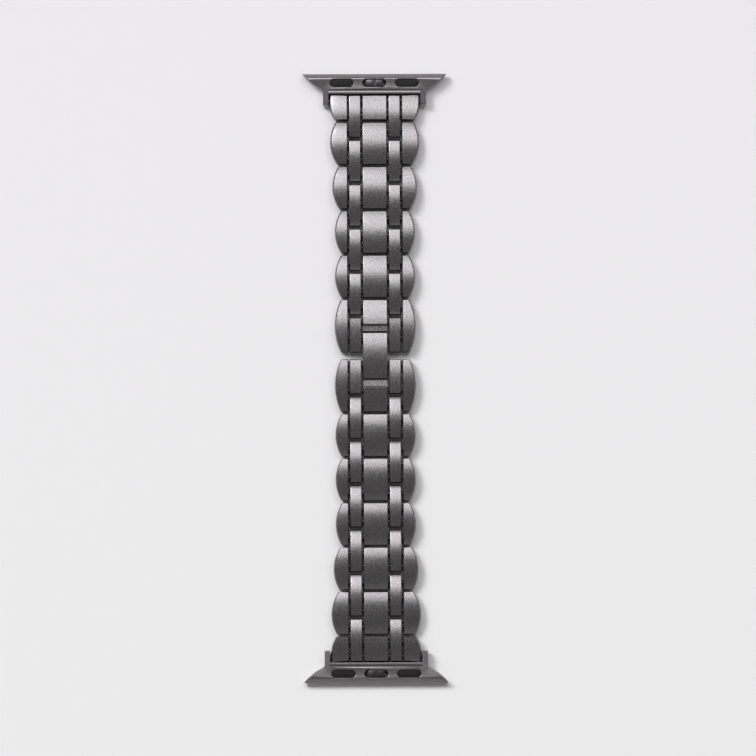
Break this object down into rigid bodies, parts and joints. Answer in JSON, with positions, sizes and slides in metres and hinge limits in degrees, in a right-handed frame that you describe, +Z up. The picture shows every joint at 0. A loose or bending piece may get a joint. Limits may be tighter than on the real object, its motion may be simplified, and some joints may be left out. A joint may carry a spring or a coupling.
{
  "type": "link watch bracelet",
  "caption": "Straight link watch bracelet with bowed side pieces, staggered bridge pieces, a centre latch and a slide-in case connector at each end.",
  "frame": {"origin": "on the resting plane, under the middle of the whole bracelet", "axes": "+Y along the bracelet towards the upper connector, +X across it, +Z up out of the crowned side"},
  "size_m": [0.0336, 0.1416, 0.0029],
  "materials": {
    "brushed_steel": "dark grey plated steel, brushed along the bracelet",
    "bright_steel": "plain polished steel",
    "black_elastomer": "moulded matt elastomer"
  },
  "bodies": {
    "upper_clasp": {"upper_clasp_sides": "brushed_steel", "upper_clasp_centre": "brushed_steel", "upper_clasp_pins": "bright_steel"},
    "latch": {"latch_cover": "brushed_steel", "latch_lever": "bright_steel"},
    "catch_bar": {"catch_bar": "bright_steel"},
    "lower_clasp": {"lower_clasp_sides": "brushed_steel", "lower_clasp_centre": "brushed_steel", "lower_clasp_pins": "bright_steel"},
    "upper_link_1": {"upper_link_1_sides": "brushed_steel", "upper_link_1_centre": "brushed_steel", "upper_link_1_bridges": "brushed_steel", "upper_link_1_pins": "bright_steel"},
    "upper_link_2": {"upper_link_2_sides": "brushed_steel", "upper_link_2_centre": "brushed_steel", "upper_link_2_bridges": "brushed_steel", "upper_link_2_pins": "bright_steel"},
    "upper_link_3": {"upper_link_3_sides": "brushed_steel", "upper_link_3_centre": "brushed_steel", "upper_link_3_bridges": "brushed_steel", "upper_link_3_pins": "bright_steel"},
    "upper_link_4": {"upper_link_4_sides": "brushed_steel", "upper_link_4_centre": "brushed_steel", "upper_link_4_bridges": "brushed_steel", "upper_link_4_pins": "bright_steel"},
    "upper_end": {"upper_end_caps": "brushed_steel", "upper_end_bridges": "brushed_steel", "upper_end_pins": "bright_steel"},
    "upper_connector": {"upper_connector": "brushed_steel", "upper_pads": "black_elastomer", "upper_catch_spring": "bright_steel"},
    "upper_catch": {"upper_catch": "bright_steel"},
    "lower_link_1": {"lower_link_1_sides": "brushed_steel", "lower_link_1_centre": "brushed_steel", "lower_link_1_bridges": "brushed_steel", "lower_link_1_pins": "bright_steel"},
    "lower_link_2": {"lower_link_2_sides": "brushed_steel", "lower_link_2_centre": "brushed_steel", "lower_link_2_bridges": "brushed_steel", "lower_link_2_pins": "bright_steel"},
    "lower_link_3": {"lower_link_3_sides": "brushed_steel", "lower_link_3_centre": "brushed_steel", "lower_link_3_bridges": "brushed_steel", "lower_link_3_pins": "bright_steel"},
    "lower_link_4": {"lower_link_4_sides": "brushed_steel", "lower_link_4_centre": "brushed_steel", "lower_link_4_bridges": "brushed_steel", "lower_link_4_pins": "bright_steel"},
    "lower_link_5": {"lower_link_5_sides": "brushed_steel", "lower_link_5_centre": "brushed_steel", "lower_link_5_bridges": "brushed_steel", "lower_link_5_pins": "bright_steel"},
    "lower_end": {"lower_end_caps": "brushed_steel", "lower_end_bridges": "brushed_steel", "lower_end_pins": "bright_steel"},
    "lower_connector": {"lower_connector": "brushed_steel", "lower_pads": "black_elastomer", "lower_catch_spring": "bright_steel"},
    "lower_catch": {"lower_catch": "bright_steel"}
  },
  "joints": [
    {"name": "latch_opens", "type": "hinge", "parent": "upper_clasp", "child": "latch", "pos_m": [0, 0.00941, 0.00135], "axis": [-1, 0, 0], "range_deg": [0, 90]},
    {"name": "bar_leaves_hook", "type": "slide", "parent": "upper_clasp", "child": "catch_bar", "axis": [0, 0, -1], "range_m": [0, 0.004]},
    {"name": "lower_clasp_hinge", "type": "hinge", "parent": "catch_bar", "child": "lower_clasp", "pos_m": [0, 0.00314, 0.00135], "axis": [1, 0, 0], "range_deg": [-6, 12]},
    {"name": "upper_link_1_hinge", "type": "hinge", "parent": "upper_clasp", "child": "upper_link_1", "pos_m": [0, 0.01648, 0.00135], "axis": [-1, 0, 0], "range_deg": [-10, 22]},
    {"name": "upper_link_2_hinge", "type": "hinge", "parent": "upper_link_1", "child": "upper_link_2", "pos_m": [0, 0.0268, 0.00135], "axis": [-1, 0, 0], "range_deg": [-10, 22]},
    {"name": "upper_link_3_hinge", "type": "hinge", "parent": "upper_link_2", "child": "upper_link_3", "pos_m": [0, 0.03714, 0.00135], "axis": [-1, 0, 0], "range_deg": [-10, 22]},
    {"name": "upper_link_4_hinge", "type": "hinge", "parent": "upper_link_3", "child": "upper_link_4", "pos_m": [0, 0.04747, 0.00135], "axis": [-1, 0, 0], "range_deg": [-10, 22]},
    {"name": "upper_end_hinge", "type": "hinge", "parent": "upper_link_4", "child": "upper_end", "pos_m": [0, 0.05779, 0.00135], "axis": [-1, 0, 0], "range_deg": [-10, 22]},
    {"name": "upper_connector_hinge", "type": "hinge", "parent": "upper_end", "child": "upper_connector", "pos_m": [0, 0.06462, 0.00135], "axis": [-1, 0, 0], "range_deg": [-15, 25]},
    {"name": "upper_catch_press", "type": "slide", "parent": "upper_connector", "child": "upper_catch", "axis": [0, 0, -1], "range_m": [0, 0.0005], "stiffness_N_per_m": 200, "springref_m": -0.0003, "deforming": ["upper_catch_spring"]},
    {"name": "lower_link_1_hinge", "type": "hinge", "parent": "lower_clasp", "child": "lower_link_1", "pos_m": [0, -0.00615, 0.00135], "axis": [1, 0, 0], "range_deg": [-10, 22]},
    {"name": "lower_link_2_hinge", "type": "hinge", "parent": "lower_link_1", "child": "lower_link_2", "pos_m": [0, -0.01648, 0.00135], "axis": [1, 0, 0], "range_deg": [-10, 22]},
    {"name": "lower_link_3_hinge", "type": "hinge", "parent": "lower_link_2", "child": "lower_link_3", "pos_m": [0, -0.0268, 0.00135], "axis": [1, 0, 0], "range_deg": [-10, 22]},
    {"name": "lower_link_4_hinge", "type": "hinge", "parent": "lower_link_3", "child": "lower_link_4", "pos_m": [0, -0.03714, 0.00135], "axis": [1, 0, 0], "range_deg": [-10, 22]},
    {"name": "lower_link_5_hinge", "type": "hinge", "parent": "lower_link_4", "child": "lower_link_5", "pos_m": [0, -0.04747, 0.00135], "axis": [1, 0, 0], "range_deg": [-10, 22]},
    {"name": "lower_end_hinge", "type": "hinge", "parent": "lower_link_5", "child": "lower_end", "pos_m": [0, -0.05779, 0.00135], "axis": [1, 0, 0], "range_deg": [-10, 22]},
    {"name": "lower_connector_hinge", "type": "hinge", "parent": "lower_end", "child": "lower_connector", "pos_m": [0, -0.06462, 0.00135], "axis": [1, 0, 0], "range_deg": [-15, 25]},
    {"name": "lower_catch_press", "type": "slide", "parent": "lower_connector", "child": "lower_catch", "axis": [0, 0, -1], "range_m": [0, 0.0005], "stiffness_N_per_m": 200, "springref_m": -0.0003, "deforming": ["lower_catch_spring"]}
  ]
}
